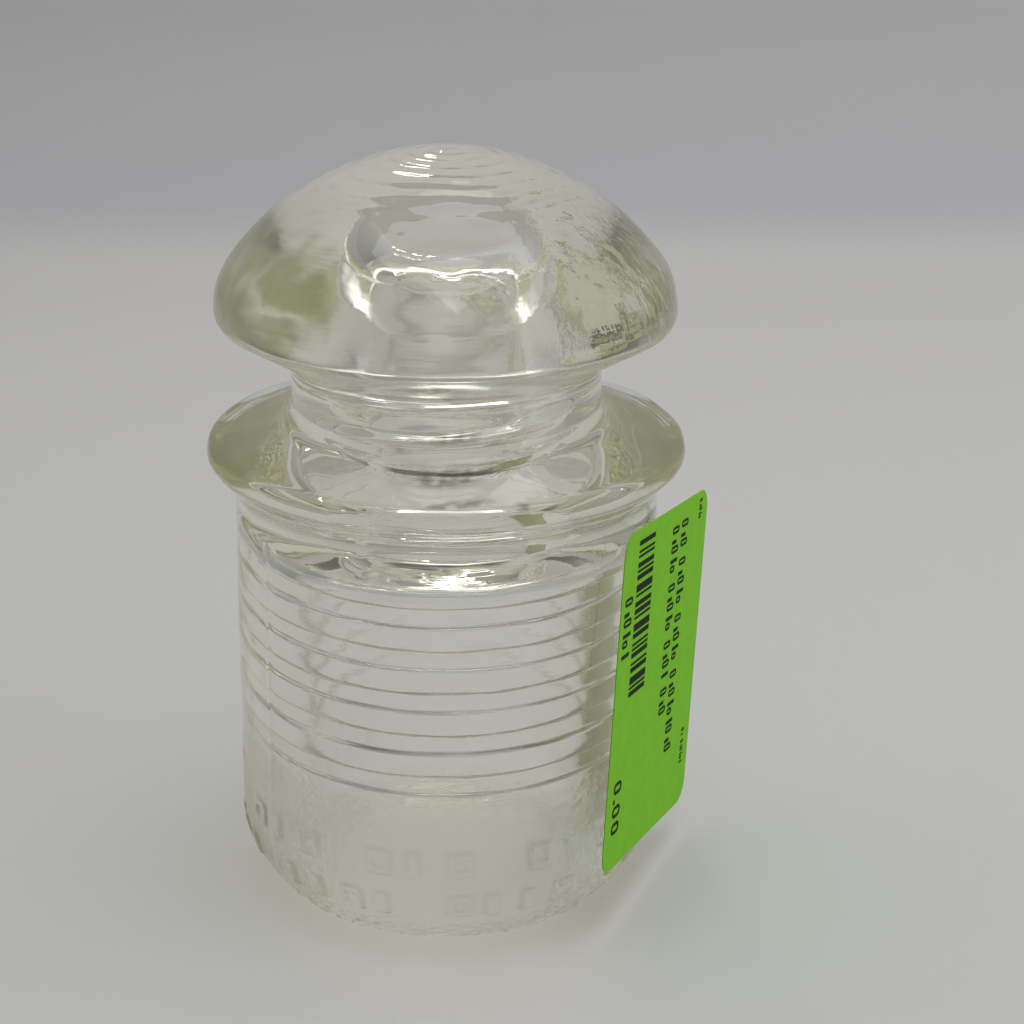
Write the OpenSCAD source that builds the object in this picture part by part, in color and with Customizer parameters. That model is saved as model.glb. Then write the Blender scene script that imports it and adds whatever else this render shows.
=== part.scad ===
// Pin-type glass line insulator with a paper price label.
// Millimetres, +Z up. The origin is on the turning axis, in the plane of the foot.

/* [Crown] */
// Overall height of the glass
total_h = 92; // [90:0.5:94]
// Radius of the dome's top arc
dome_r = 31.7; // [30:0.1:34]
// Radius of the arc that turns the dome down to its rim
crown_arc_r = 10; // [9:0.1:11]
// Largest radius of the crown
crown_r = 27.3; // [27:0.1:28]
// Height of the crown's widest circle
crown_z = 73.4; // [73:0.1:74]
// Radius of the crown's lip
lip_r = 1.6; // [1.2:0.1:1.8]
// Slope of the crown's underside, falling towards the neck
underside_slope = 30; // [20:1:32]

/* [Wire groove and flange] */
// Radius of the neck that the wire is tied round
neck_r = 18.5; // [17.5:0.1:19]
// Fillet between the neck and the crown
neck_top_fillet = 3.5; // [2:0.1:3.8]
// Fillet between the neck and the flange
neck_low_fillet = 2.5; // [1.5:0.1:3]
// Largest radius of the flange
flange_r = 28.75; // [28:0.05:30]
// Radius of the flange's rounded edge
flange_edge_r = 1.9; // [1.5:0.1:2.2]
// Height of the flange edge's middle
flange_z = 56.5; // [56:0.1:57]
// Slope of the flange's top, falling outwards
flange_slope = 12; // [8:1:14]

/* [Skirt] */
// Skirt radius under the flange
skirt_top_r = 25.6; // [25.2:0.05:26]
// Height at which the skirt runs into the flange
skirt_top_z = 50.3; // [49:0.1:50.5]
// Skirt radius above the rounded base
skirt_low_r = 25.95; // [25.7:0.05:26.4]
// Radius of the rounded base
base_arc_r = 14.4; // [13:0.1:15]
// Height at which the base starts to round in
base_arc_z = 10.9; // [10:0.1:11.5]
// Radius of the foot's outer edge
foot_edge_r = 1.5; // [1:0.1:2]

/* [Cavity] */
// Radius of the open mouth
mouth_r = 18.2; // [17.5:0.1:18.6]
// Radius of the cavity under its roof
cavity_top_r = 17.7; // [17:0.1:18]
// Height of the shoulder where the cavity wall ends
shoulder_z = 43.2; // [42:0.1:44]
// Rounding between the cavity wall and its roof
shoulder_r = 2.4; // [1.5:0.1:3]
// Height of the roof at the pin hole
roof_z = 47.2; // [46.5:0.1:48]
// Number of drip rings inside the skirt
ring_count = 5; // [0:1:5]
// Height of the lowest drip ring
ring_first_z = 20.5; // [20:0.05:21.5]
// Spacing of the drip rings
ring_pitch = 5.35; // [4:0.05:5.4]
// Width of a drip ring, up the wall
ring_width = 2.3; // [1.8:0.1:2.6]
// How far a drip ring stands out of the wall
ring_height = 0.8; // [0.4:0.1:1]

/* [Pin hole] */
// Radius over the crests of the thread, which a plain pin passes
pin_r = 9.4; // [9:0.1:9.6]
// Radius at the root of the thread
thread_root_r = 10.6; // [10.2:0.1:10.8]
// Thread pitch, right hand
thread_pitch = 5.4; // [5:0.1:6.35]
// Height at which the thread starts
thread_start_z = 51; // [50:0.5:53]
// Turns of thread
thread_turns = 3.4; // [2:0.1:3.4]
// Height at which the plain end begins
chamber_z = 71.5; // [71.5:0.5:73]
// Radius of the plain end
tip_r = 8.9; // [8.5:0.1:9]
// Rounding at the top of the plain end
tip_edge_r = 3; // [1:0.1:4]
// Height of the closed end
hole_end_z = 77.6; // [76.5:0.1:80]

/* [Mould marks] */
// Height of the raised marks over the glass
mark_h = 0.3; // [0.2:0.05:0.5]
// Marks in the upper row
upper_marks = 12; // [0:1:16]
// Marks in the lower row
lower_marks = 30; // [0:1:36]

/* [Label] */
// Width of the label, along its short side
label_w = 31; // [28:0.5:32]
// Length of the label
label_l = 42; // [40:0.5:43]
// Corner radius of the label
label_corner = 2.8; // [1.5:0.1:4]
// Thickness of the paper
paper_t = 0.12; // [0.08:0.01:0.2]
// Thickness of the adhesive film
film_t = 0.06; // [0.04:0.01:0.1]
// Azimuth of the line along which the label touches the skirt
label_azimuth = 65.5; // [50:0.5:75]
// Turn of the label in its own plane
label_turn = 7.7; // [0:0.1:9]
// Sideways place of the label's upper near corner, from the line of contact
label_near = -7.9; // [-10:0.1:-6]
// Height of the label's upper near corner
label_top = 51; // [49:0.1:51.5]

/* [Hidden] */
$fn = 96;

overlap = 0.2;

// Points of an arc round c, from angle a0 to a1
function arc(c, r, a0, a1, n = 10) =
    [for (i = [0:n]) let (a = a0 + (a1 - a0) * i / n) [c[0] + r * cos(a), c[1] + r * sin(a)]];

// Crown: a shallow dome arc, tangent to a tighter arc that ends at the widest circle
dome_c = [0, total_h - dome_r];
crown_c = [crown_r - crown_arc_r, crown_z];
dome_join = atan2(crown_c[1] - dome_c[1], crown_c[0]);
lip_c = [crown_r - lip_r, crown_z];
lip_end = arc(lip_c, lip_r, 0, underside_slope - 90)[10];

// Neck: fillet centres that touch the underside, the neck and the flange top
neck_top_c = let (cr = neck_r + neck_top_fillet, tr = cr - neck_top_fillet * sin(underside_slope))
    [cr, lip_end[1] - (lip_end[0] - tr) * tan(underside_slope) - neck_top_fillet * cos(underside_slope)];
flange_c = [flange_r - flange_edge_r, flange_z];
flange_top = arc(flange_c, flange_edge_r, 90 - flange_slope, 0)[0];
neck_low_c = let (cr = neck_r + neck_low_fillet, tr = cr - neck_low_fillet * sin(flange_slope))
    [cr, flange_top[1] + (flange_top[0] - tr) * tan(flange_slope) + neck_low_fillet * cos(flange_slope)];

// Cove under the flange: the radius that touches both the skirt and the flange's edge
cove_dr = flange_c[0] - skirt_top_r;
cove_dz = flange_z - skirt_top_z;
cove_r = (cove_dr * cove_dr + cove_dz * cove_dz - flange_edge_r * flange_edge_r)
    / (2 * (flange_edge_r + cove_dr));
cove_c = [skirt_top_r + cove_r, skirt_top_z];
cove_a = atan2(cove_dz, flange_c[0] - cove_c[0]);

// Foot: the rounded base runs into a small edge radius on the flat foot
base_c = [skirt_low_r - base_arc_r, base_arc_z];
foot_c = let (d = base_arc_r - foot_edge_r, dz = base_arc_z - foot_edge_r)
    [base_c[0] + sqrt(d * d - dz * dz), foot_edge_r];
foot_a = atan2(foot_c[1] - base_c[1], foot_c[0] - base_c[0]);
mouth_edge_r = 0.8;

function outer_line() = concat(
    arc(dome_c, dome_r, 90, dome_join, 16),
    arc(crown_c, crown_arc_r, dome_join, 0, 10),
    arc(lip_c, lip_r, 0, underside_slope - 90, 8),
    arc(neck_top_c, neck_top_fillet, 90 + underside_slope, 180, 8),
    arc(neck_low_c, neck_low_fillet, 180, 270 - flange_slope, 8),
    arc(flange_c, flange_edge_r, 90 - flange_slope, cove_a - 180, 12),
    arc(cove_c, cove_r, cove_a, 180, 8),
    arc(base_c, base_arc_r, 0, foot_a, 10),
    arc(foot_c, foot_edge_r, foot_a, -90, 5));

module outer_section() polygon(concat(outer_line(), [[0, 0]]));

module cavity_section() {
    polygon(concat(
        [[0, -overlap], [mouth_r + mouth_edge_r, -overlap]],
        arc([mouth_r + mouth_edge_r, mouth_edge_r], mouth_edge_r, -90, -180, 5),
        arc([cavity_top_r - shoulder_r, shoulder_z], shoulder_r, 0, 75, 8),
        [[thread_root_r, roof_z], [pin_r, roof_z + thread_root_r - pin_r], [0, roof_z + thread_root_r - pin_r]]));
}

function wall_r(z) = mouth_r + (cavity_top_r - mouth_r) * z / shoulder_z;

// Section of a drip ring: a low step with rounded corners, sunk a little into the wall
ring_edge_r = 0.35;
function ring_section(z) = let (r = wall_r(z) - ring_height + ring_edge_r, h = ring_width / 2 - ring_edge_r)
    concat([[wall_r(z) + 1, z - ring_width / 2 - 0.2]],
        arc([r, z - h], ring_edge_r, 270, 180, 4), arc([r, z + h], ring_edge_r, 180, 90, 4),
        [[wall_r(z) + 1, z + ring_width / 2 + 0.2]]);

module drip_rings() {
    for (i = [0:1:ring_count - 1])
        rotate_extrude() polygon(ring_section(ring_first_z + i * ring_pitch));
}

// Plain end of the pin hole, with a rounded upper corner
module plain_end_section()
    polygon(concat([[0, chamber_z], [tip_r, chamber_z]],
        arc([tip_r - tip_edge_r, hole_end_z - tip_edge_r], tip_edge_r, 0, 90, 8), [[0, hole_end_z]]));

// Rounded thread groove, swept outwards from inside the pin hole
thread_steps = 24;
thread_in_r = pin_r - overlap;
groove_half = thread_pitch * 0.3;
function groove_section() = [
    [thread_in_r, -groove_half], [pin_r + 0.3, -groove_half * 0.85], [thread_root_r, -groove_half * 0.35],
    [thread_root_r, groove_half * 0.35], [pin_r + 0.3, groove_half * 0.85], [thread_in_r, groove_half]];

module thread_groove() {
    section = groove_section();
    m = len(section);
    n = round(thread_turns * thread_steps);
    points = [for (i = [0:n]) let (a = i * 360 / thread_steps, z = thread_start_z + i * thread_pitch / thread_steps)
        for (p = section) [p[0] * cos(a), p[0] * sin(a), z + p[1]]];
    sides = [for (i = [0:n - 1], j = [0:m - 1]) let (k = (j + 1) % m)
        each [[i * m + j, (i + 1) * m + j, (i + 1) * m + k], [i * m + j, (i + 1) * m + k, i * m + k]]];
    polyhedron(points, concat([[for (j = [0:m - 1]) j]], sides, [[for (j = [m - 1:-1:0]) n * m + j]]));
}

// One raised mark: a short band that follows the skirt or the rounded base
module mark(a0, span, z0, z1) {
    function r_at(z) = z >= base_arc_z ? skirt_low_r
        : base_c[0] + sqrt(base_arc_r * base_arc_r - (base_arc_z - z) * (base_arc_z - z));
    steps = 4;
    zs = [for (i = [0:steps]) z0 + (z1 - z0) * i / steps];
    rotate([0, 0, a0]) rotate_extrude(angle = span)
        polygon(concat([for (z = zs) [r_at(z) + mark_h, z]],
            [for (i = [steps:-1:0]) [r_at(zs[i]) - 1, zs[i]]]));
}

module mould_marks() {
    upper_pitch = 130 / max(upper_marks, 1);
    for (i = [0:1:upper_marks - 1]) if (i % 4 != 3)
        mark(205 + i * upper_pitch, upper_pitch * (i % 2 == 0 ? 0.62 : 0.34), 11.4, 14.6);
    lower_pitch = 300 / max(lower_marks, 1);
    for (i = [0:1:lower_marks - 1]) if (i % 5 != 4)
        mark(120 + i * lower_pitch, lower_pitch * (i % 3 == 0 ? 0.65 : 0.4), 5.6, 8.8);
}

module glass_body() color([0.86, 0.89, 0.82, 0.55]) {
    difference() {
        union() {
            rotate_extrude() outer_section();
            mould_marks();
        }
        difference() {
            rotate_extrude() cavity_section();
            drip_rings();
        }
        translate([0, 0, roof_z]) cylinder(r = pin_r, h = chamber_z - roof_z + overlap);
        rotate_extrude() plain_end_section();
        thread_groove();
    }
}

// Puts children on the label: x across it, y up it, z out of it, from its upper near corner
label_gap = skirt_low_r + 0.02;
module on_label() {
    rotate([0, 0, label_azimuth]) translate([0, -label_gap, 0]) rotate([90, 0, 0])
        translate([label_near, label_top, 0]) rotate([0, 0, -label_turn]) children();
}

module label_outline(inset = 0) {
    r = label_corner - inset;
    difference() {
        translate([inset, inset - label_l]) square([label_w - 2 * inset, label_l - 2 * inset]);
        for (x = [0, 1], y = [0, 1])
            translate([inset + x * (label_w - 2 * inset), inset - label_l + y * (label_l - 2 * inset)])
                mirror([x, 0]) mirror([0, y]) difference() {
                    translate([-1, -1]) square(r + 1);
                    translate([r, r]) circle(r, $fn = 48);
                }
    }
}

// Film over the whole back, and the bead that it makes where it is pressed on the glass
bead_w = 5;
module label_adhesive() color([0.93, 0.93, 0.85]) {
    on_label() linear_extrude(film_t) label_outline(0.3);
    difference() {
        rotate([0, 0, label_azimuth]) translate([-bead_w / 2, -label_gap - overlap * 0.1, 12])
            cube([bead_w, 1, 34]);
        rotate_extrude($fn = 720) polygon([[0, 0], [skirt_low_r, 0], [skirt_low_r, base_arc_z],
            [skirt_top_r, skirt_top_z], [0, skirt_top_z]]);
    }
}

module label_paper() color([0.42, 0.62, 0.16])
    on_label() translate([0, 0, film_t]) linear_extrude(paper_t) label_outline();

// Ink stands a little out of the paper
ink_t = 0.04;
module ink() color([0.07, 0.10, 0.06])
    on_label() translate([0, 0, film_t + paper_t]) linear_extrude(ink_t) children();

// Bars across the label, thin and thick in a repeating order that codes nothing
bar_unit = 0.3;
bar_place = [4.9, -1.5];
bar_len = 5.6;
bar_order = [2, 1, 1, 2, 1, 2, 3, 1, 2, 2, 1, 3];
gap_order = [1, 2, 1, 2, 1];
bars = 21;
function bar_start(i) = i == 0 ? 0
    : bar_start(i - 1) + bar_order[(i - 1) % len(bar_order)] + gap_order[i % len(gap_order)];

module print_barcode() ink()
    for (i = [0:bars - 1])
        let (units = bar_order[i % len(bar_order)])
            translate([bar_place[0], bar_place[1] - (bar_start(i) + units) * bar_unit])
                square([bar_len, units * bar_unit]);

// A long round-ended ring that stands for one character; its top points across the label
module character(h, w, stroke) {
    module round_end(w, h) {
        translate([w / 2, w / 2]) circle(w / 2, $fn = 24);
        translate([h - w / 2, w / 2]) circle(w / 2, $fn = 24);
        translate([w / 2, 0]) square([h - w, w]);
    }
    difference() {
        round_end(w, h);
        translate([stroke, stroke]) round_end(w - 2 * stroke, h - 2 * stroke);
    }
}

// Rows of plain marks in place of words: [place across, start, height, marks in each word]
mark_rows = [
    [20.8, -2.4, 2.5, [3, 5, 5, 9]],
    [17.3, -2.6, 2.5, [5, 5, 4, 3]],
    [27.6, -1.0, 1.1, [5]],
    [27.8, -31.6, 1.1, [2, 6]],
    [1.2, -7.8, 2.6, [6]]];
row_marks = [for (row = mark_rows) for (w = [0:len(row[3]) - 1]) for (k = [0:row[3][w] - 1])
    let (before = w == 0 ? 0 : [for (i = 0, sum = 0; i <= w; sum = sum + row[3][i] + 1, i = i + 1) sum][w])
        [row[0], row[1] - (before + k) * row[2] * 0.49, row[2], k]];

module print_lines() ink()
    for (m = row_marks)
        let (h = m[2] * (m[3] % 3 == 1 ? 0.66 : 1), w = m[2] * 0.37)
            translate([m[0], m[1] - w]) if (m[3] % 2 == 0) character(h, w, w * 0.34); else square([h, w * 0.5]);

// A price of nothing
price_place = [2.2, -30.8];
price_h = 2.6;
price_w = 1.5;
module print_price() ink() {
    for (i = [0, 1.6, 2.75])
        translate([price_place[0], price_place[1] - price_w - i * price_w * 1.25])
            character(price_h, price_w, 0.42);
    translate([price_place[0], price_place[1] - price_w * 1.75]) square(0.55);
}

glass_body();
label_adhesive();
label_paper();
print_barcode();
print_lines();
print_price();
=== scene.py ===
"""Looks of a pressed-glass line insulator with a paper price label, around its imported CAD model."""

import math

import bpy
import numpy as np
from mathutils import Matrix, Vector


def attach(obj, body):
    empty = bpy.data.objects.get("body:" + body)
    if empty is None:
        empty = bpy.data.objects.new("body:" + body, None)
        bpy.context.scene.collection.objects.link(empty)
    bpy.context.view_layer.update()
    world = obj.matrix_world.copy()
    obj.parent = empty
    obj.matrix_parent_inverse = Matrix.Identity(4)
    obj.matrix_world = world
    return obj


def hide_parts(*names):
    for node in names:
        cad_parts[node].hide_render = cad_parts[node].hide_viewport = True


MM = 0.001
SEED = 7

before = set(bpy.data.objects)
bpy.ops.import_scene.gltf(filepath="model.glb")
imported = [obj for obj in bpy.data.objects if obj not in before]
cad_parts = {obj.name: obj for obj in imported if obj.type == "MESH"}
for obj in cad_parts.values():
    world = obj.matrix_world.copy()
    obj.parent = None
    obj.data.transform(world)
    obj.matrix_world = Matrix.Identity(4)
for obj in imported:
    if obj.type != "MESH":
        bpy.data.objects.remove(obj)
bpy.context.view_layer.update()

# Dimensions of the glass that the CAD part also has, in millimetres; slopes in radians
TOTAL_H = 92.0
DOME_R = 31.7
CROWN_ARC_R = 10.0
CROWN_R = 27.3
CROWN_Z = 73.4
LIP_R = 1.6
UNDERSIDE = math.radians(30)
NECK_R = 18.5
NECK_TOP_FILLET = 3.5
NECK_LOW_FILLET = 2.5
FLANGE_R = 28.75
FLANGE_EDGE_R = 1.9
FLANGE_Z = 56.5
FLANGE_SLOPE = math.radians(12)
SKIRT_TOP_R = 25.6
SKIRT_TOP_Z = 50.3
SKIRT_LOW_R = 25.95
BASE_ARC_R = 14.4
BASE_ARC_Z = 10.9
FOOT_EDGE_R = 1.5
MOUTH_R = 18.2
MOUTH_EDGE_R = 0.8
CAVITY_TOP_R = 17.7
SHOULDER_Z = 43.2
SHOULDER_R = 2.4
ROOF_Z = 47.2
PIN_R = 9.4
THREAD_ROOT_R = 10.6
THREAD_PITCH = 5.4
THREAD_START_Z = 51.0
THREAD_TURNS = 3.4
CHAMBER_Z = 71.5
TIP_R = 8.9
TIP_EDGE_R = 3.0
HOLE_END_Z = 77.6
RING_COUNT = 5
RING_FIRST_Z = 20.5
RING_PITCH = 5.35
RING_WIDTH = 2.3
RING_HEIGHT = 0.8
MARK_H = 0.3

# Rows of raised marks: how many places, the sweep and start in degrees, every which place is empty,
# the shares of a place that marks fill in turn, and the heights in millimetres that they span
MARK_ROWS = (
    (12, 130, 205, 4, (0.62, 0.34), 11.4, 14.6),
    (30, 300, 120, 5, (0.65, 0.4, 0.4), 5.6, 8.8),
)

# Edges of a mark, in radians round and in millimetres up; its hollow: half width as a share of the mark's,
# inset in millimetres, and depth as a share of the mark's height
MARK_EDGE_TURN = 0.02
MARK_EDGE_H = 0.5
HOLLOW_SHARE = 0.26
HOLLOW_INSET = 0.9
HOLLOW_DEPTH = 0.85

# Rounding of the pin hole's mouth and of a ring's edges, in millimetres, and the share of the pitch that
# the thread's groove takes, with its run-out in turns
HOLE_MOUTH_R = 1.2
RING_EDGE = 0.3
THREAD_GROOVE_SHARE = 0.62
THREAD_RUN_OUT = 0.05

# Waves that pressing left in the glass, in millimetres: depth, length, and where on the glass they are
OUTER_WAVE = 0.05
OUTER_WAVE_LENGTH = 9
INNER_WAVE = 0.11
INNER_WAVE_LENGTH = 8
CROWN_WAVE = 0.03
CROWN_WAVE_LENGTH = 4.5
CROWN_WAVE_FROM_Z = 71
CROWN_RIPPLE = 0.045
CROWN_RIPPLE_LENGTH = 2.3
CROWN_RIPPLE_R = 17
CROWN_RIPPLE_FROM_Z = 80
FOOT_GRAIN = 0.11
FOOT_GRAIN_LENGTH = 1.4
FOOT_GRAIN_TOP_Z = 3.4

# Open ends of a range of heights or radii, in millimetres
ABOVE_ALL = 200
BELOW_ALL = -5

# Mould seams up the skirt: azimuths, and height, half width and top in millimetres
SEAM_AZIMUTHS = (math.radians(-144.6), math.radians(35.4))
SEAM_H = 0.08
SEAM_HALF_WIDTH = 0.28
SEAM_TOP_Z = 49

# Darkening kept on the mesh, from 0 to 1: darker along the edges of the raised marks, and painted shade in
# the thread near the front
MARK_EDGE_DARKENING = 0.11
THREAD_SHADE = 0.85
FRONT_AZIMUTH = 1.5 * math.pi
FRONT_SPREAD = math.radians(24)

# Painted shade smears on the outside, near the front: azimuth in degrees, height in millimetres, half width
# in degrees, half height in millimetres, and strength, which is clipped at 1
SHADE_SMEARS = (
    (266, 69.9, 8.0, 0.8, 1.6),
    (271.5, 68.4, 2.4, 0.4, 3.0),
    (270, 63.1, 10.0, 0.55, 2.2),
    (271, 59.6, 8.0, 0.32, 3.0),
    (272, 58.4, 8.0, 0.18, 1.6),
    (251, 48.8, 6.0, 2.0, 0.4),
    (254, 61.5, 3.0, 0.4, 0.9),
    (287, 58.0, 1.6, 0.25, 2.0),
)

# Bump of the surface, in millimetres
FLOW_DEPTH = 0.035
STREAK_DEPTH = 0.16
STREAK_LEFT_SHARE = 0.06
STIPPLE_DEPTH = 0.10
FOOT_GAIN = 4.5

# Roughness of the frosted band and of the hazes
FROST_ROUGHNESS = 0.27
FOOT_FROST_SHARE = 0.35
UNDERSIDE_HAZE = 0.16
DOME_HAZE = 0.03
SMUDGE_HAZE = 0.17
CAVITY_HAZE = 0.14

# Strength of the film in the bore, and the tint of all dirt and painted shade
BORE_FILM = 0.12
DIRT_AND_SHADE_COLOUR = (0.30, 0.27, 0.23)

# Where the surface changes, in metres: the start and the end of each change, by height, x, y or radius
STREAKS_Z = (0.070, 0.076)
STREAKS_X = (0.002, 0.014)
FROST_Z = (0.0178, 0.0192)
FOOT_STIPPLE_Z = (0.003, 0.006)
FOOT_FROST_Z = (0.002, 0.006)
HAZE_START_Z = (0.0670, 0.0685)
HAZE_END_Z = (0.0725, 0.0745)
SMUDGE_X = (-0.0135, -0.0095)
SMUDGE_Z = (0.0670, 0.0690)
CAVITY_RADIUS = (0.0188, 0.0196)
CAVITY_ROOF_Z = (0.0445, 0.0455)
BORE_RADIUS = (0.0110, 0.0125)
BORE_TOP_Z = (0.083, 0.080)
# Painted shade lines on the rings: the heights where they start and fade, and their thinning towards the
# back
RING_SHADE_START_Z = (0.0170, 0.0180)
RING_SHADE_FADE_Z = (0.031, 0.037)
RING_SHADE_FRONT_Y = (-0.004, 0.004)

# Painted shade lines along the two edges of a ring: strengths, and the fade across in ring pitches
RING_SHADE_EDGE_STRENGTHS = (1.0, 0.7)
RING_SHADE_LINE = (0.02, 0.055)
RING_SHADE_GAPS = (0.35, 0.60)
RING_SHADE_LEAST = 0.35
RING_SHADE_BACK_SHARE = 0.12

# Colours of the glass, the label and the stage
GLASS_IOR = 1.47
GLASS_SHADOW = (0.955, 0.955, 0.95, 1)
GLASS_BODY_COLOUR = (0.74, 0.74, 0.14, 1)
GLASS_BODY_DENSITY = 5.5
ADHESIVE_COLOUR = (0.84, 0.88, 0.66)
PRINT_COLOUR = (0.006, 0.012, 0.004)
PAPER_COLOURS = ((0.17, 0.50, 0.012), (0.23, 0.60, 0.02))
TABLE_COLOUR = (0.665, 0.66, 0.65)
# Painted shade where the table turns up into the wall, and painted light higher up the wall that makes up
# for the light falling off there
WALL_FOOT_SHADE_COLOUR = (0.56, 0.56, 0.58)
WALL_LIT_COLOUR = (0.66, 0.66, 0.67)
WALL_FOOT_SHADE_Z = (0.0, 0.014)
WALL_LIGHT_Z = (0.012, 0.070)
STAIN_COLOUR = (0.60, 0.56, 0.50)
STAIN_LIMITS = (0.60, 0.80)
STAIN_STRENGTH = 0.22

# Camera: lens in millimetres, angles in degrees, place in metres
LENS = 75.45
YAW = 1.859
PITCH = 21.002
ROLL = -0.527
CAMERA_PLACE = (0, -0.244835, 0.141273)

# Room: its light and its dark side, and where one turns into the other, as parts of a direction
ROOM_LIGHT = (0.97, 0.98, 1.0)
ROOM_DARK = (0.27, 0.265, 0.26)
ROOM_STRENGTH = 0.47
ROOM_FRONT_Y = (0.05, -0.40)
ROOM_LOW_Z = (0.88, 0.62)
WARM_WHITE = (1.0, 0.9, 0.72)


def arc(centre, radius, start, end):
    """Points of an arc in (radius, height), about a third of a millimetre apart; angles in radians."""
    count = max(6, int(abs(end - start) * radius / 0.3))
    angles = np.linspace(start, end, count)
    return np.stack([centre[0] + radius * np.cos(angles), centre[1] + radius * np.sin(angles)], -1)


def outer_line():
    """The outside of the glass from the top of the dome down to the foot."""
    down = math.pi / 2
    dome = (0.0, TOTAL_H - DOME_R)
    crown = (CROWN_R - CROWN_ARC_R, CROWN_Z)
    join = math.atan2(crown[1] - dome[1], crown[0])
    lip = (CROWN_R - LIP_R, CROWN_Z)
    lip_end = arc(lip, LIP_R, 0, UNDERSIDE - down)[-1]
    top_r = NECK_R + NECK_TOP_FILLET
    touch_r = top_r - NECK_TOP_FILLET * math.sin(UNDERSIDE)
    top_z = lip_end[1] - (lip_end[0] - touch_r) * math.tan(UNDERSIDE)
    top_z -= NECK_TOP_FILLET * math.cos(UNDERSIDE)
    flange = (FLANGE_R - FLANGE_EDGE_R, FLANGE_Z)
    flange_top = arc(flange, FLANGE_EDGE_R, down - FLANGE_SLOPE, 0)[0]
    low_r = NECK_R + NECK_LOW_FILLET
    touch_r = low_r - NECK_LOW_FILLET * math.sin(FLANGE_SLOPE)
    low_z = flange_top[1] + (flange_top[0] - touch_r) * math.tan(FLANGE_SLOPE)
    low_z += NECK_LOW_FILLET * math.cos(FLANGE_SLOPE)
    cove_dr = flange[0] - SKIRT_TOP_R
    cove_dz = FLANGE_Z - SKIRT_TOP_Z
    cove_r = (cove_dr**2 + cove_dz**2 - FLANGE_EDGE_R**2) / (2 * (FLANGE_EDGE_R + cove_dr))
    cove = (SKIRT_TOP_R + cove_r, SKIRT_TOP_Z)
    cove_angle = math.atan2(cove_dz, flange[0] - cove[0])
    base = (SKIRT_LOW_R - BASE_ARC_R, BASE_ARC_Z)
    foot_dz = BASE_ARC_Z - FOOT_EDGE_R
    foot = (base[0] + math.sqrt((BASE_ARC_R - FOOT_EDGE_R) ** 2 - foot_dz**2), FOOT_EDGE_R)
    foot_angle = math.atan2(-foot_dz, foot[0] - base[0])
    return np.concatenate([
        arc(dome, DOME_R, down, join)[1:],
        arc(crown, CROWN_ARC_R, join, 0)[1:],
        arc(lip, LIP_R, 0, UNDERSIDE - down)[1:],
        arc((top_r, top_z), NECK_TOP_FILLET, down + UNDERSIDE, math.pi),
        arc((low_r, low_z), NECK_LOW_FILLET, math.pi, 3 * down - FLANGE_SLOPE),
        arc(flange, FLANGE_EDGE_R, down - FLANGE_SLOPE, cove_angle - math.pi),
        arc(cove, cove_r, cove_angle, math.pi)[1:],
        arc(base, BASE_ARC_R, 0, foot_angle),
        arc(foot, FOOT_EDGE_R, foot_angle, -down)[1:],
    ])


def inner_line():
    """The inside from the foot up the cavity and the pin hole to its closed end."""
    right = math.pi / 2
    mouth = (MOUTH_R + MOUTH_EDGE_R, MOUTH_EDGE_R)
    shoulder = (CAVITY_TOP_R - SHOULDER_R, SHOULDER_Z)
    hole_mouth = (PIN_R + HOLE_MOUTH_R, ROOF_Z + HOLE_MOUTH_R)
    tip = (TIP_R - TIP_EDGE_R, HOLE_END_Z - TIP_EDGE_R)
    return np.concatenate([
        arc(mouth, MOUTH_EDGE_R, -right, -math.pi),
        arc(shoulder, SHOULDER_R, 0, math.radians(75)),
        arc(hole_mouth, HOLE_MOUTH_R, -math.radians(100), -math.pi),
        [[PIN_R, CHAMBER_Z]],
        arc(tip, TIP_EDGE_R, 0, right),
    ])


def refine(line, step):
    """The same line with extra points, so that no two are further apart than step."""
    points = [line[0]]
    for a, b in zip(line[:-1], line[1:]):
        count = max(1, math.ceil(np.linalg.norm(b - a) / step))
        points += [a + (b - a) * k / count for k in range(1, count + 1)]
    return np.array(points)


def smooth_box(x, low, high, edge):
    """1 between low and high, falling to 0 over edge on either side."""
    rise = np.clip((x - low) / edge + 0.5, 0, 1)
    fall = np.clip((high - x) / edge + 0.5, 0, 1)
    rise, fall = (t * t * (3 - 2 * t) for t in (rise, fall))
    return rise * fall


def turn_from(theta, azimuth):
    """Angle from an azimuth round to theta, between minus and plus half a turn."""
    return np.mod(theta - azimuth + math.pi, 2 * math.pi) - math.pi


def waves(points, length, seed, count=28):
    """Smooth random relief from -1 to 1, with bumps about one length (mm) long."""
    rng = np.random.default_rng(seed)
    ways = rng.normal(size=(count, 3))
    ways /= np.linalg.norm(ways, axis=1)[:, None]
    ways *= (2 * math.pi / length * rng.uniform(0.6, 1.5, count))[:, None]
    shifts = rng.uniform(0, 2 * math.pi, count)
    total = np.zeros(points.shape[:-1])
    for way, shift in zip(ways, shifts):
        total += np.sin(points @ way + shift)
    return np.clip(total / math.sqrt(2 * count), -1, 1)


def ring_offset(z):
    """How far the drip rings stand out of the cavity wall at height z."""
    total = np.zeros_like(z)
    for k in range(RING_COUNT):
        middle = RING_FIRST_Z + RING_PITCH * k
        total += smooth_box(z, middle - RING_WIDTH / 2, middle + RING_WIDTH / 2, RING_EDGE)
    return RING_HEIGHT * np.clip(total, 0, 1)


def raised_block(z, turn, span, low, high, hollow):
    """One raised mark of that span and height, from 0 to 1, with a hollow in it if hollow is true."""
    block = smooth_box(turn, -span / 2, span / 2, MARK_EDGE_TURN) * smooth_box(z, low, high, MARK_EDGE_H)
    if not hollow:
        return block
    inside = smooth_box(turn, -span * HOLLOW_SHARE, span * HOLLOW_SHARE, MARK_EDGE_TURN)
    inside *= smooth_box(z, low + HOLLOW_INSET, high - HOLLOW_INSET, MARK_EDGE_H)
    return block * (1 - HOLLOW_DEPTH * inside)


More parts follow.
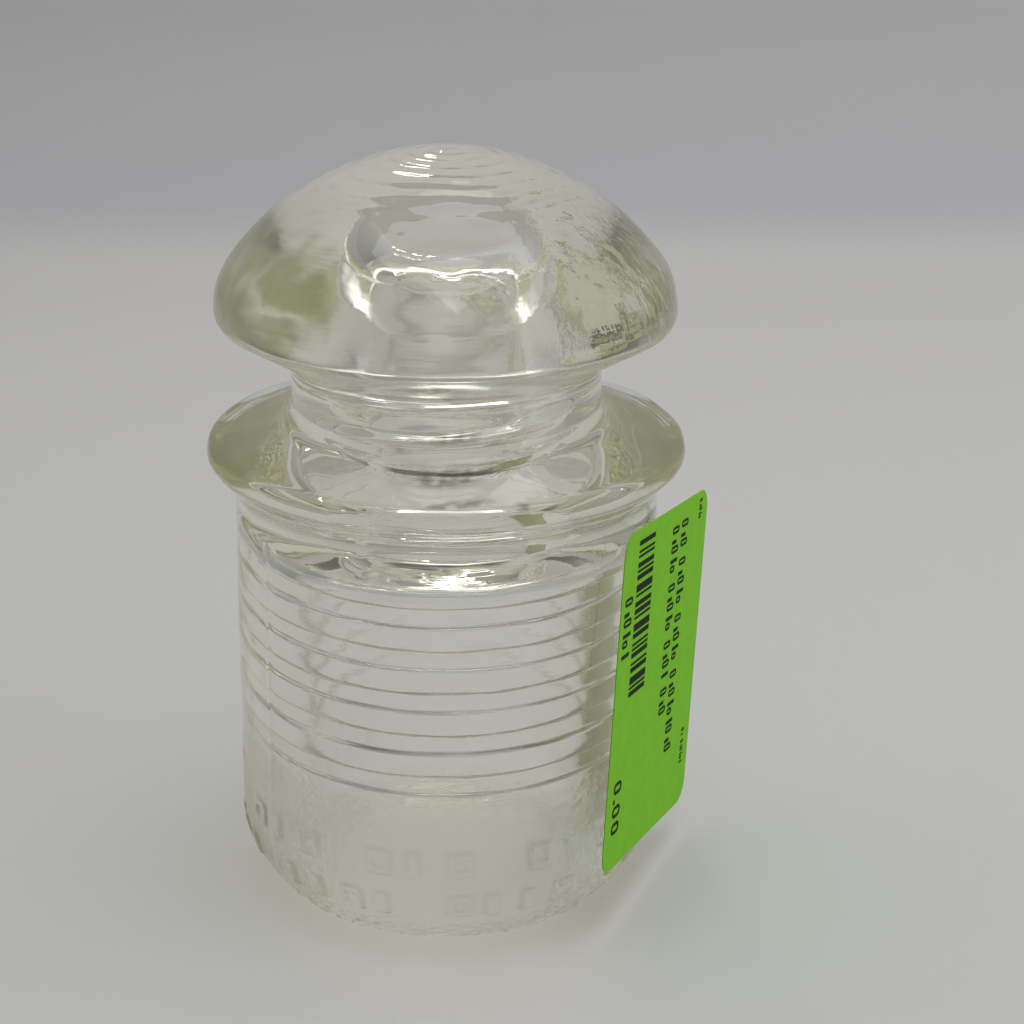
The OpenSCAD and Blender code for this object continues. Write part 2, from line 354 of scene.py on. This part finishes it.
def mark_offset(z, theta):
    """Height of the raised mould marks: two rows of plain blocks round the lower skirt."""
    total = np.zeros_like(z)
    for number, sweep, start, skip, shares, low, high in MARK_ROWS:
        pitch = sweep / number
        for i in range(number):
            if i % skip == skip - 1:
                continue
            share = shares[i % len(shares)]
            span = math.radians(pitch * share)
            middle = math.radians(start + i * pitch) + span / 2
            turn = turn_from(theta, middle)
            total = np.maximum(total, raised_block(z, turn, span, low, high, share > 0.5))
    return MARK_H * total


def thread_offset(z, theta):
    """Depth of the thread groove outwards from the pin hole's wall."""
    turn = (z - THREAD_START_Z) / THREAD_PITCH
    phase = turn - theta / (2 * math.pi)
    nearest = np.round(phase)
    along = nearest + theta / (2 * math.pi)
    across = np.abs(phase - nearest) * 2
    round_groove = 0.5 + 0.5 * np.cos(math.pi * np.clip(across / THREAD_GROOVE_SHARE, 0, 1))
    depth = (THREAD_ROOT_R - PIN_R) * round_groove
    return depth * smooth_box(along, 0, THREAD_TURNS, THREAD_RUN_OUT)


def shade_smears(z, theta):
    """Smears of painted shade, from 0 to 1, each drawn out along the slope of the thread."""
    total = np.zeros_like(z)
    for azimuth, middle, half_turn, half_height, strength in SHADE_SMEARS:
        turn = np.degrees(turn_from(theta, math.radians(azimuth)))
        across = (z - middle - turn * THREAD_PITCH / 360) / half_height
        total = np.maximum(total, strength * np.exp(-((turn / half_turn) ** 2) - across**2))
    return np.minimum(total, 1)


def raised_marks(radius, height, angle):
    """The mould marks' height on the outside of the lower skirt, and nothing elsewhere."""
    skirt = (height > 4) & (height < 17) & (radius > 20)
    return np.where(skirt, mark_offset(height, angle), 0)


def outer_relief(points, radius, height, angle):
    """Waves, marks and seams of the outside; only the marks and seams stand out of the turned shape."""
    outer = OUTER_WAVE * (waves(points, OUTER_WAVE_LENGTH, SEED) - 1)
    crown = smooth_box(height, CROWN_WAVE_FROM_Z, ABOVE_ALL, 3)
    outer = outer + CROWN_WAVE * (waves(points, CROWN_WAVE_LENGTH, SEED + 4) - 1) * crown
    wander = 1.5 * waves(points, 12, SEED + 1)
    ripple = np.sin(2 * math.pi * radius / CROWN_RIPPLE_LENGTH + wander) - 1
    top = smooth_box(radius, BELOW_ALL, CROWN_RIPPLE_R, 6) * (height > CROWN_RIPPLE_FROM_Z)
    outer = outer + CROWN_RIPPLE * ripple * top
    grain = FOOT_GRAIN * (waves(points, FOOT_GRAIN_LENGTH, SEED + 2, 60) - 1)
    outer = outer + grain * smooth_box(height, BELOW_ALL, FOOT_GRAIN_TOP_Z, 2)
    outer = outer + raised_marks(radius, height, angle)
    for azimuth in SEAM_AZIMUTHS:
        across = turn_from(angle, azimuth) * radius / SEAM_HALF_WIDTH
        outer = outer + SEAM_H * np.exp(-(across**2)) * (height < SEAM_TOP_Z)
    return outer


def pressed_relief(points, radius, height, angle, inside):
    """Relief along the normal that points out of the glass, on its outside and its inside."""
    outer = outer_relief(points, radius, height, angle)
    inner = -INNER_WAVE * (waves(points, INNER_WAVE_LENGTH, SEED + 3) + 1) / 2
    return np.where(inside, inner, outer)


def mesh_darkening(smooth, radius, height, angle, inside, in_hole):
    """Darkening at each point, from 0 to 1: along the edges of the raised marks, and painted shade in the
    thread and in smears outside.
    """
    marks = np.where(inside, 0, raised_marks(radius, height, angle))
    slope = np.abs(np.gradient(marks, axis=0)) + np.abs(np.gradient(marks, axis=1))
    round_marks = MARK_EDGE_DARKENING * np.clip(slope / (0.4 * MARK_H), 0, 1)
    groove = np.where(in_hole, thread_offset(height, angle), 0) / (THREAD_ROOT_R - PIN_R)
    near_front = np.exp(-(((angle - FRONT_AZIMUTH) / FRONT_SPREAD) ** 2))
    patches = np.clip(0.6 + 0.7 * waves(smooth, 3.5, SEED + 5), 0, 1)
    # Darker along the edges of the raised marks, and painted shade deep in the thread groove near the front
    edges_and_painted_shade = round_marks + THREAD_SHADE * groove**5 * near_front * patches
    # Painted shade smears on the outside, broken up
    breaks = np.clip(0.95 + 0.9 * waves(smooth, 1.8, SEED + 6), 0, 1)
    smear_shade = np.where(inside, 0, shade_smears(smooth[..., 2], angle) * breaks)
    return np.maximum(edges_and_painted_shade, smear_shade)


def turned_faces(rows, segments):
    """Faces between rows of points round the axis, closed by a point at each end of the profile."""
    top, end = rows * segments, rows * segments + 1
    last = (rows - 1) * segments
    faces = []
    for i in range(rows - 1):
        a, b = i * segments, (i + 1) * segments
        faces += [(a + j, b + j, b + (j + 1) % segments, a + (j + 1) % segments) for j in range(segments)]
    faces += [(top, j, (j + 1) % segments) for j in range(segments)]
    faces += [(end, last + (j + 1) % segments, last + j) for j in range(segments)]
    return faces


def make_glass(segments=420, step=0.3):
    """Points, faces and darkening of the glass (mark edges and painted shade): its profile turned round the
    axis, then worked in relief.
    """
    outside = refine(outer_line(), step)
    line = np.concatenate([outside, refine(inner_line(), step / 2)])
    tangent = np.gradient(line, axis=0)
    normal = np.stack([-tangent[:, 1], tangent[:, 0]], -1)
    normal /= np.linalg.norm(normal, axis=1)[:, None] + 1e-9
    radius = np.repeat(line[:, :1], segments, 1)
    height = np.repeat(line[:, 1:], segments, 1)
    angle = np.repeat(np.arange(segments)[None] * 2 * math.pi / segments, len(line), 0)
    inside = (np.arange(len(line)) >= len(outside))[:, None]
    in_cavity = inside & (radius > 16) & (height > 5) & (height < SHOULDER_Z + 1)
    radius = radius - np.where(in_cavity, ring_offset(height), 0)
    in_hole = inside & (radius < PIN_R + 0.01) & (height > ROOF_Z + 1.3) & (height < CHAMBER_Z)
    radius = radius + np.where(in_hole, thread_offset(height, angle), 0)
    smooth = np.stack([radius * np.cos(angle), radius * np.sin(angle), height], -1)
    relief = pressed_relief(smooth, radius, height, angle, inside)
    radius = radius + relief * normal[:, :1]
    height = height + relief * normal[:, 1:]
    rows = np.stack([radius * np.cos(angle), radius * np.sin(angle), height], -1).reshape(-1, 3)
    ends = [[0, 0, height[0].mean()], [0, 0, height[-1].mean()]]
    points = np.concatenate([rows, ends]) * MM
    edges_and_painted_shade = mesh_darkening(smooth, radius, height, angle, inside, in_hole)
    return points, turned_faces(len(line), segments), np.append(edges_and_painted_shade.ravel(), [0, 0])


def mesh_object(name, points, faces, material):
    """A smooth-shaded mesh object of one material, in the scene."""
    mesh = bpy.data.meshes.new(name)
    mesh.from_pydata([tuple(p) for p in points], [], faces)
    mesh.update()
    mesh.polygons.foreach_set("use_smooth", [True] * len(mesh.polygons))
    piece = bpy.data.objects.new(name, mesh)
    bpy.context.scene.collection.objects.link(piece)
    mesh.materials.append(material)
    return piece


def new_material(name):
    """An empty node material, its nodes and its links."""
    material = bpy.data.materials.new(name)
    material.use_nodes = True
    return material, material.node_tree.nodes, material.node_tree.links


def stretched_noise(nodes, links, coords, scale, detail=2.0):
    """Noise that is drawn out along some axes; scale is bumps per metre along x, y and z."""
    mapping = nodes.new("ShaderNodeMapping")
    mapping.inputs["Scale"].default_value = scale
    links.new(coords, mapping.inputs["Vector"])
    noise = nodes.new("ShaderNodeTexNoise")
    noise.inputs["Scale"].default_value = 1.0
    noise.inputs["Detail"].default_value = detail
    links.new(mapping.outputs[0], noise.inputs["Vector"])
    return noise.outputs[0]


def ramp_between(nodes, links, value, limits, low=0.0, high=1.0):
    """Smooth step of a value from low at the first limit to high at the second."""
    ramp = nodes.new("ShaderNodeMapRange")
    ramp.interpolation_type = "SMOOTHSTEP"
    ramp.inputs["From Min"].default_value = limits[0]
    ramp.inputs["From Max"].default_value = limits[1]
    ramp.inputs["To Min"].default_value = low
    ramp.inputs["To Max"].default_value = high
    links.new(value, ramp.inputs["Value"])
    return ramp.outputs["Result"]


def combine(nodes, links, operation, a, b):
    """Maths on two values, each a socket or a number."""
    node = nodes.new("ShaderNodeMath")
    node.operation = operation
    for socket, value in zip(node.inputs, (a, b)):
        if isinstance(value, (int, float)):
            socket.default_value = value
        else:
            links.new(value, socket)
    return node.outputs[0]


def chain(nodes, links, operation, first, *others):
    """The same maths on two or more values, from left to right."""
    for other in others:
        first = combine(nodes, links, operation, first, other)
    return first


def axis_distance(nodes, links, x, y):
    """Distance from the turning axis."""
    flat = nodes.new("ShaderNodeCombineXYZ")
    links.new(x, flat.inputs["X"])
    links.new(y, flat.inputs["Y"])
    reach = nodes.new("ShaderNodeVectorMath")
    reach.operation = "LENGTH"
    links.new(flat.outputs[0], reach.inputs[0])
    return reach.outputs["Value"]


def ring_edge_shade(nodes, links, coords, y, z):
    """Thin broken lines of painted shade, from 0 to 1, along the edges of the drip rings and mostly at the
    front.
    """
    first = (RING_FIRST_Z - RING_PITCH / 2) * MM
    phase = combine(nodes, links, "SUBTRACT", z, first)
    phase = combine(nodes, links, "DIVIDE", phase, RING_PITCH * MM)
    phase = combine(nodes, links, "FRACT", phase, 0.0)
    edge = RING_WIDTH / 2 / RING_PITCH
    lines = []
    for place, strength in zip((0.5 + edge, 0.5 - edge), RING_SHADE_EDGE_STRENGTHS):
        gap = combine(nodes, links, "SUBTRACT", phase, place)
        gap = combine(nodes, links, "ABSOLUTE", gap, 0.0)
        lines.append(ramp_between(nodes, links, gap, RING_SHADE_LINE, strength, 0.0))
    total = chain(nodes, links, "MAXIMUM", *lines)
    breaks = stretched_noise(nodes, links, coords, (160, 160, 160), 2.0)
    breaks = ramp_between(nodes, links, breaks, RING_SHADE_GAPS, RING_SHADE_LEAST, 1.0)
    above = ramp_between(nodes, links, z, RING_SHADE_START_Z)
    upper = ramp_between(nodes, links, z, RING_SHADE_FADE_Z, 1.0, RING_SHADE_LEAST)
    front = ramp_between(nodes, links, y, RING_SHADE_FRONT_Y, 1.0, RING_SHADE_BACK_SHARE)
    return chain(nodes, links, "MULTIPLY", total, breaks, above, upper, front)


def glass_relief(nodes, links, coords, x, z, frost):
    """Bump height in millimetres: flow lines all over, streaks on the crown, stipple where it is frosted."""
    flow = stretched_noise(nodes, links, coords, (70, 70, 800))
    flow = combine(nodes, links, "MULTIPLY", flow, FLOW_DEPTH)
    rise = ramp_between(nodes, links, z, STREAKS_Z)
    side = ramp_between(nodes, links, x, STREAKS_X, STREAK_LEFT_SHARE, 1.0)
    streaks = stretched_noise(nodes, links, coords, (420, 420, 110), 3.0)
    streaks = chain(nodes, links, "MULTIPLY", streaks, rise, side, STREAK_DEPTH)
    stipple = stretched_noise(nodes, links, coords, (900, 900, 900), 3.0)
    foot = ramp_between(nodes, links, z, FOOT_STIPPLE_Z, FOOT_GAIN, 1.0)
    stipple = chain(nodes, links, "MULTIPLY", stipple, frost, foot, STIPPLE_DEPTH)
    return chain(nodes, links, "ADD", flow, streaks, stipple)


def glass_roughness(nodes, links, x, z, frost, cavity):
    """Frost on the lower skirt, haze on the crown's underside and left, and haze in the cavity."""
    haze = ramp_between(nodes, links, z, HAZE_START_Z, 0.0, UNDERSIDE_HAZE)
    haze_end = ramp_between(nodes, links, z, HAZE_END_Z, 0.0, UNDERSIDE_HAZE - DOME_HAZE)
    haze = combine(nodes, links, "SUBTRACT", haze, haze_end)
    smudge = ramp_between(nodes, links, x, SMUDGE_X, SMUDGE_HAZE, 0.0)
    smudge = combine(nodes, links, "MULTIPLY", smudge, ramp_between(nodes, links, z, SMUDGE_Z))
    haze = combine(nodes, links, "MAXIMUM", haze, smudge)
    above_foot = ramp_between(nodes, links, z, FOOT_FROST_Z, FOOT_FROST_SHARE, 1.0)
    roughness = chain(nodes, links, "MULTIPLY", frost, FROST_ROUGHNESS, above_foot)
    roughness = combine(nodes, links, "ADD", roughness, haze)
    inner = combine(nodes, links, "MULTIPLY", cavity, CAVITY_HAZE)
    return combine(nodes, links, "MAXIMUM", roughness, inner)


def glass_dirt_and_shade(nodes, links, coords, y, z, reach, cavity):
    """Dirt and painted shade, from 0 to 1: painted shade lines on the rings, the darkening kept on the mesh,
    and a film of dirt in the bore.
    """
    # Painted shade lines along the rings' edges, kept to the cavity
    ring_shade = ring_edge_shade(nodes, links, coords, y, z)
    ring_shade = combine(nodes, links, "MULTIPLY", ring_shade, cavity)
    # Darkening kept on the mesh: mark edges, and painted shade in the thread and in smears
    edges_and_painted_shade = nodes.new("ShaderNodeAttribute")
    edges_and_painted_shade.attribute_name = "edges_and_painted_shade"
    bore = ramp_between(nodes, links, reach, BORE_RADIUS, BORE_FILM, 0.0)
    bore = combine(nodes, links, "MULTIPLY", bore, ramp_between(nodes, links, z, BORE_TOP_Z))
    return chain(nodes, links, "MAXIMUM", ring_shade, edges_and_painted_shade.outputs["Fac"], bore)


def glass_surface(nodes, links, shader):
    """Links the glass's bump, roughness, and its dirt and painted shade to its shader."""
    coords = nodes.new("ShaderNodeTexCoord").outputs["Object"]
    split = nodes.new("ShaderNodeSeparateXYZ")
    links.new(coords, split.inputs[0])
    x, y, z = split.outputs["X"], split.outputs["Y"], split.outputs["Z"]
    frost = ramp_between(nodes, links, z, FROST_Z, 1.0, 0.0)
    bump = nodes.new("ShaderNodeBump")
    bump.inputs["Strength"].default_value = 1.0
    bump.inputs["Distance"].default_value = MM
    links.new(glass_relief(nodes, links, coords, x, z, frost), bump.inputs["Height"])
    links.new(bump.outputs[0], shader.inputs["Normal"])
    reach = axis_distance(nodes, links, x, y)
    cavity = ramp_between(nodes, links, reach, CAVITY_RADIUS, 1.0, 0.0)
    below_roof = ramp_between(nodes, links, z, CAVITY_ROOF_Z, 1.0, 0.0)
    cavity = combine(nodes, links, "MULTIPLY", cavity, below_roof)
    dirt_and_shade = glass_dirt_and_shade(nodes, links, coords, y, z, reach, cavity)
    # The base colour turns towards one tint with dirt and painted shade
    links.new(blend_colours(nodes, links, dirt_and_shade, (1, 1, 1), DIRT_AND_SHADE_COLOUR), shader.inputs["Base Color"])
    links.new(glass_roughness(nodes, links, x, z, frost, cavity), shader.inputs["Roughness"])


def glass_material():
    """Clear glass with a faint olive body. Lamps reach what is behind it, a little dimmed."""
    material, nodes, links = new_material("clear_glass")
    shader = nodes["Principled BSDF"]
    glass_surface(nodes, links, shader)
    passing = nodes.new("ShaderNodeBsdfTransparent")
    passing.inputs["Color"].default_value = GLASS_SHADOW
    path = nodes.new("ShaderNodeLightPath")
    mix = nodes.new("ShaderNodeMixShader")
    links.new(path.outputs["Is Shadow Ray"], mix.inputs[0])
    links.new(shader.outputs[0], mix.inputs[1])
    links.new(passing.outputs[0], mix.inputs[2])
    links.new(mix.outputs[0], nodes["Material Output"].inputs["Surface"])
    shader.inputs["IOR"].default_value = GLASS_IOR
    shader.inputs["Transmission Weight"].default_value = 1.0
    absorb = nodes.new("ShaderNodeVolumeAbsorption")
    absorb.inputs["Color"].default_value = GLASS_BODY_COLOUR
    absorb.inputs["Density"].default_value = GLASS_BODY_DENSITY
    links.new(absorb.outputs[0], nodes["Material Output"].inputs["Volume"])
    return material


def plain_material(name, colour, roughness, specular=0.5):
    """One colour and gloss all over, for film and print too thin to show more."""
    material, nodes, _ = new_material(name)
    shader = nodes["Principled BSDF"]
    shader.inputs["Base Color"].default_value = (*colour, 1)
    shader.inputs["Roughness"].default_value = roughness
    shader.inputs["Specular IOR Level"].default_value = specular
    return material


def blend_colours(nodes, links, factor, low, high):
    """From one fixed colour at 0 to another at 1."""
    mix = nodes.new("ShaderNodeMix")
    mix.data_type = "RGBA"
    mix.inputs[6].default_value = (*low, 1)
    mix.inputs[7].default_value = (*high, 1)
    links.new(factor, mix.inputs[0])
    return mix.outputs[2]


def tint_over(nodes, links, factor, base, high):
    """Base, a socket, turning to one fixed colour where factor is 1."""
    mix = nodes.new("ShaderNodeMix")
    mix.data_type = "RGBA"
    links.new(factor, mix.inputs[0])
    links.new(base, mix.inputs[6])
    mix.inputs[7].default_value = (*high, 1)
    return mix.outputs[2]


def paper_material():
    """Lime green coated paper with a slight mottle."""
    material, nodes, links = new_material("green_paper")
    shader = nodes["Principled BSDF"]
    coords = nodes.new("ShaderNodeTexCoord").outputs["Object"]
    mottle = stretched_noise(nodes, links, coords, (500, 500, 500), 4.0)
    links.new(blend_colours(nodes, links, mottle, *PAPER_COLOURS), shader.inputs["Base Color"])
    shader.inputs["Roughness"].default_value = 0.6
    shader.inputs["Specular IOR Level"].default_value = 0.15
    return material


def stage_material():
    """Pale table with painted shade where it sweeps up into the wall, painted light higher up the wall that
    makes up for the light falling off there, and a few faint stains.
    """
    material, nodes, links = new_material("pale_stage")
    shader = nodes["Principled BSDF"]
    coords = nodes.new("ShaderNodeTexCoord").outputs["Object"]
    split = nodes.new("ShaderNodeSeparateXYZ")
    links.new(coords, split.inputs[0])
    # Painted shade at the foot of the wall
    up = ramp_between(nodes, links, split.outputs["Z"], WALL_FOOT_SHADE_Z)
    base = blend_colours(nodes, links, up, TABLE_COLOUR, WALL_FOOT_SHADE_COLOUR)
    # Painted light higher up the wall, making up for the light falling off there
    wall_light = ramp_between(nodes, links, split.outputs["Z"], WALL_LIGHT_Z)
    base = tint_over(nodes, links, wall_light, base, WALL_LIT_COLOUR)
    stain = stretched_noise(nodes, links, coords, (14, 14, 14), 3.0)
    stain = ramp_between(nodes, links, stain, STAIN_LIMITS, 0.0, STAIN_STRENGTH)
    links.new(tint_over(nodes, links, stain, base, STAIN_COLOUR), shader.inputs["Base Color"])
    shader.inputs["Roughness"].default_value = 0.9
    shader.inputs["Specular IOR Level"].default_value = 0.2
    return material


def add_camera():
    """Camera from its place and its yaw, downward pitch and roll."""
    data = bpy.data.cameras.new("camera")
    data.sensor_width = 36
    data.lens = LENS
    data.clip_end = 20
    camera = bpy.data.objects.new("camera", data)
    bpy.context.scene.collection.objects.link(camera)
    yaw, pitch, roll = (math.radians(angle) for angle in (YAW, PITCH, ROLL))
    ahead = Vector((math.sin(yaw) * math.cos(pitch), math.cos(yaw) * math.cos(pitch), -math.sin(pitch)))
    right = Vector((math.cos(yaw), -math.sin(yaw), 0))
    up = right.cross(ahead)
    level_right, level_up = right, up
    right = math.cos(roll) * level_right - math.sin(roll) * level_up
    up = math.sin(roll) * level_right + math.cos(roll) * level_up
    turn = Matrix((right, up, -ahead)).transposed().to_4x4()
    camera.matrix_world = Matrix.Translation(CAMERA_PLACE) @ turn
    bpy.context.scene.camera = camera


def add_stage():
    """Table that sweeps up into a wall behind the object."""
    front_y, wall_y, bend, wall_top, half = -1.2, 0.34, 0.06, 0.60, 0.8
    angles = np.linspace(-math.pi / 2, 0, 24)
    line = [(front_y, 0.0)]
    line += [(wall_y - bend + bend * math.cos(a), bend + bend * math.sin(a)) for a in angles]
    line += [(wall_y, wall_top)]
    points = [(x, y, z) for y, z in line for x in (-half, half)]
    faces = [(2 * i, 2 * i + 1, 2 * i + 3, 2 * i + 2) for i in range(len(line) - 1)]
    stage = mesh_object("backdrop", points, faces, stage_material())


def add_area_light(name, place, target, size, power, colour=(1, 1, 1)):
    """A rectangular lamp that faces its target; sizes in metres, power in watts."""
    data = bpy.data.lights.new(name, "AREA")
    data.shape = "RECTANGLE"
    data.size, data.size_y = size
    data.energy = power
    data.color = colour
    light = bpy.data.objects.new(name, data)
    bpy.context.scene.collection.objects.link(light)
    place = Vector(place)
    light.location = place
    light.rotation_euler = (Vector(target) - place).to_track_quat("-Z", "Y").to_euler()
    return light


def add_lights():
    """A pale room, darker behind the camera, with panels overhead and at the side and a warm lamp behind."""
    world = bpy.data.worlds.new("soft_room")
    bpy.context.scene.world = world
    world.use_nodes = True
    nodes, links = world.node_tree.nodes, world.node_tree.links
    split = nodes.new("ShaderNodeSeparateXYZ")
    links.new(nodes.new("ShaderNodeTexCoord").outputs["Generated"], split.inputs[0])
    front = ramp_between(nodes, links, split.outputs["Y"], ROOM_FRONT_Y)
    low_down = ramp_between(nodes, links, split.outputs["Z"], ROOM_LOW_Z)
    dark = combine(nodes, links, "MULTIPLY", front, low_down)
    background = nodes["Background"]
    colour = blend_colours(nodes, links, dark, ROOM_LIGHT, ROOM_DARK)
    links.new(colour, background.inputs["Color"])
    background.inputs["Strength"].default_value = ROOM_STRENGTH
    add_area_light("overhead", (0.08, 0.0, 0.95), (0.03, 0.05, 0.0), (0.7, 0.7), 2.9)
    side = add_area_light("side_panel", (0.9, -0.3, 0.35), (0, 0, 0.05), (1.0, 0.8), 3.2)
    side.visible_glossy = False
    side.visible_transmission = False
    size = (0.026, 0.015)
    add_area_light("lamp_behind", (-0.03, 0.30, 0.27), (0, 0, 0.09), size, 0.045, WARM_WHITE)


add_camera()
points, faces, edges_and_painted_shade = make_glass()
glass = mesh_object("glass_visual", points, faces, glass_material())
# The mesh keeps its darkening: mark edges, and painted shade in the thread and in smears
glass.data.attributes.new("edges_and_painted_shade", "FLOAT", "POINT").data.foreach_set("value", edges_and_painted_shade)
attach(glass, "root")
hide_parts("glass_body")
for node, material in (
    ("label_adhesive", plain_material("adhesive", ADHESIVE_COLOUR, 0.5, 0.2)),
    ("label_paper", paper_material()),
    ("print_barcode", plain_material("black_print_barcode", PRINT_COLOUR, 0.6, 0.1)),
    ("print_lines", plain_material("black_print_lines", PRINT_COLOUR, 0.6, 0.1)),
    ("print_price", plain_material("black_print_price", PRINT_COLOUR, 0.6, 0.1)),
):
    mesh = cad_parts[node].data
    mesh.materials.clear()
    mesh.materials.append(material)
add_stage()
add_lights()
scene = bpy.context.scene
scene.view_settings.view_transform = "Standard"
scene.cycles.max_bounces = 40
scene.cycles.transmission_bounces = 40
scene.cycles.glossy_bounces = 24
scene.cycles.transparent_max_bounces = 24
